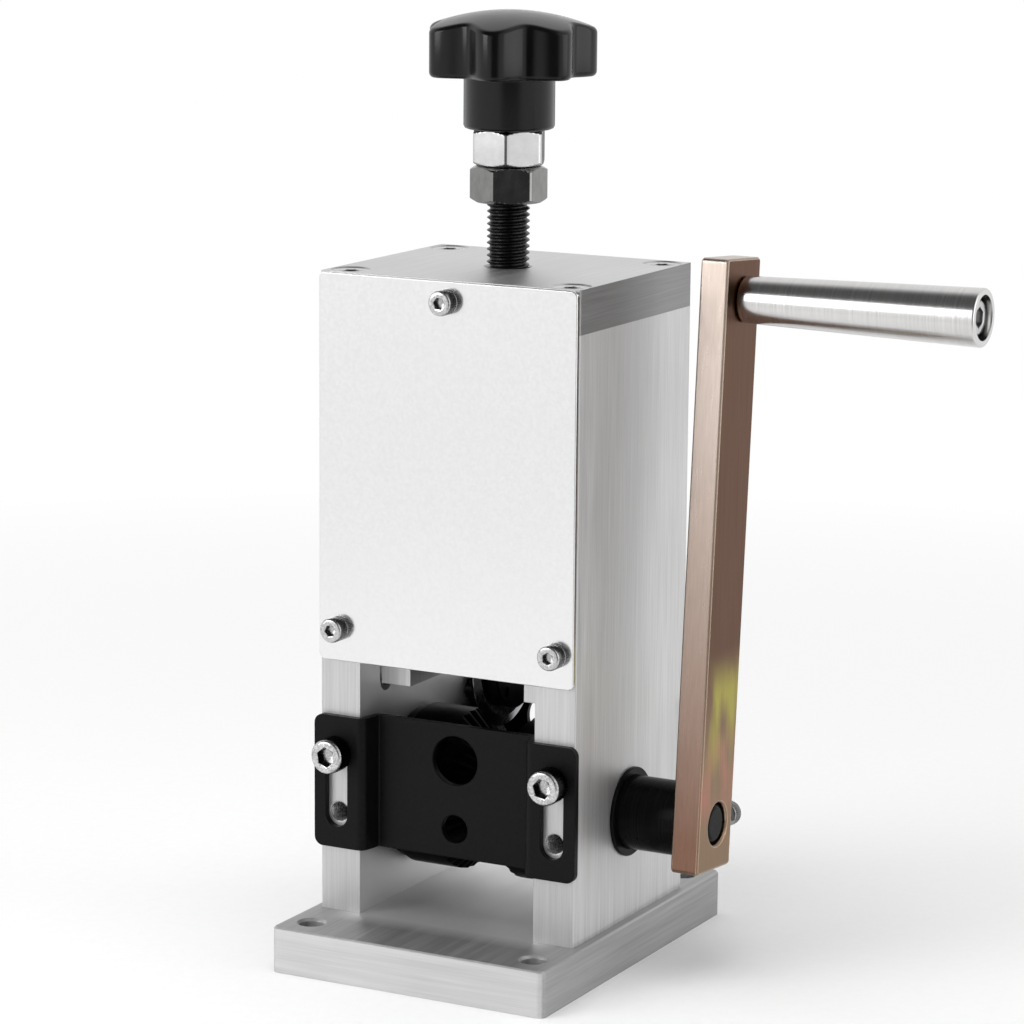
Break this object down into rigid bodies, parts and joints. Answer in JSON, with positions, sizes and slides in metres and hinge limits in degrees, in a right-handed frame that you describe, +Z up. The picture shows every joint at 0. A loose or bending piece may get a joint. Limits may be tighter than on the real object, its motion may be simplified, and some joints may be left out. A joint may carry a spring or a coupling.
{
  "type": "hand crank wire stripper",
  "caption": "Bench cable stripper: a hand crank turns a grooved feed roller under a round blade that a star knob raises and lowers.",
  "frame": {"origin": "underside of the base, under the middle of the feed roller", "axes": "+Z up, -Y the front where the cable goes in, +X the crank side"},
  "size_m": [0.1791, 0.1125, 0.2655],
  "materials": {
    "milled_aluminium": "brushed",
    "polished_cover": "polished",
    "black_sheet": "satin black",
    "black_steel": "black oxide",
    "bright_zinc": "bright zinc",
    "turned_steel": "turned",
    "blade_steel": "ground",
    "yellow_zinc": "yellow zinc",
    "grip_steel": "satin",
    "black_knob": "glossy"
  },
  "bodies": {
    "frame": {"base_plate": "milled_aluminium", "left_side_plate": "milled_aluminium", "right_side_plate": "milled_aluminium", "top_plate": "milled_aluminium", "front_cover": "polished_cover", "left_bush": "black_steel", "right_bush": "black_steel", "top_plate_screws": "bright_zinc", "base_screws": "bright_zinc", "front_cover_screws": "bright_zinc", "guide_plate_screws": "bright_zinc", "rear_guide_screws": "bright_zinc"},
    "front_guide": {"guide_plate": "black_sheet"},
    "rear_guide": {"rear_guide_plate": "black_sheet"},
    "carriage": {"blade_carriage": "milled_aluminium", "blade_axle": "turned_steel", "blade_spacers": "turned_steel", "thrust_washer": "turned_steel"},
    "blade": {"blade_disc": "blade_steel", "blade_hub": "turned_steel", "blade_clamp_ring": "turned_steel", "blade_screws": "bright_zinc"},
    "screw": {"adjusting_screw": "black_steel", "retaining_clip": "black_steel", "lower_nut": "black_steel", "upper_nut": "bright_zinc", "star_knob": "black_knob"},
    "crank": {"drive_shaft": "black_steel", "feed_roller": "black_steel", "roller_set_screws": "black_steel", "crank_arm": "yellow_zinc", "arm_clamp_screw": "bright_zinc", "arm_lock_nut": "black_steel", "grip_bolt": "bright_zinc"},
    "grip": {"grip_sleeve": "grip_steel"}
  },
  "joints": [
    {"name": "front_guide_slide", "type": "slide", "parent": "frame", "child": "front_guide", "axis": [0, 0, 1], "range_m": [-0.0006, 0.0155]},
    {"name": "rear_guide_slide", "type": "slide", "parent": "frame", "child": "rear_guide", "axis": [0, 0, 1], "range_m": [-0.0006, 0.0178]},
    {"name": "carriage_slide", "type": "slide", "parent": "frame", "child": "carriage", "axis": [0, 0, 1], "range_m": [-0.0024, 0.022]},
    {"name": "adjusting_screw_turn", "type": "hinge", "parent": "carriage", "child": "screw", "pos_m": [0, 0, 0.195], "axis": [0, 0, 1], "range_deg": [-495, 4527]},
    {"name": "blade_spin", "type": "hinge", "parent": "carriage", "child": "blade", "pos_m": [0, 0, 0.083], "axis": [1, 0, 0], "continuous": true},
    {"name": "crank_turn", "type": "hinge", "parent": "frame", "child": "crank", "pos_m": [0, 0, 0.044], "axis": [1, 0, 0], "continuous": true},
    {"name": "grip_spin", "type": "hinge", "parent": "crank", "child": "grip", "pos_m": [0.102, 0.01134, 0.18906], "axis": [1, 0, 0], "continuous": true}
  ],
  "couplings": [
    {"joint": "adjusting_screw_turn", "follows": "carriage_slide", "rad_per_m": 3590.4}
  ]
}
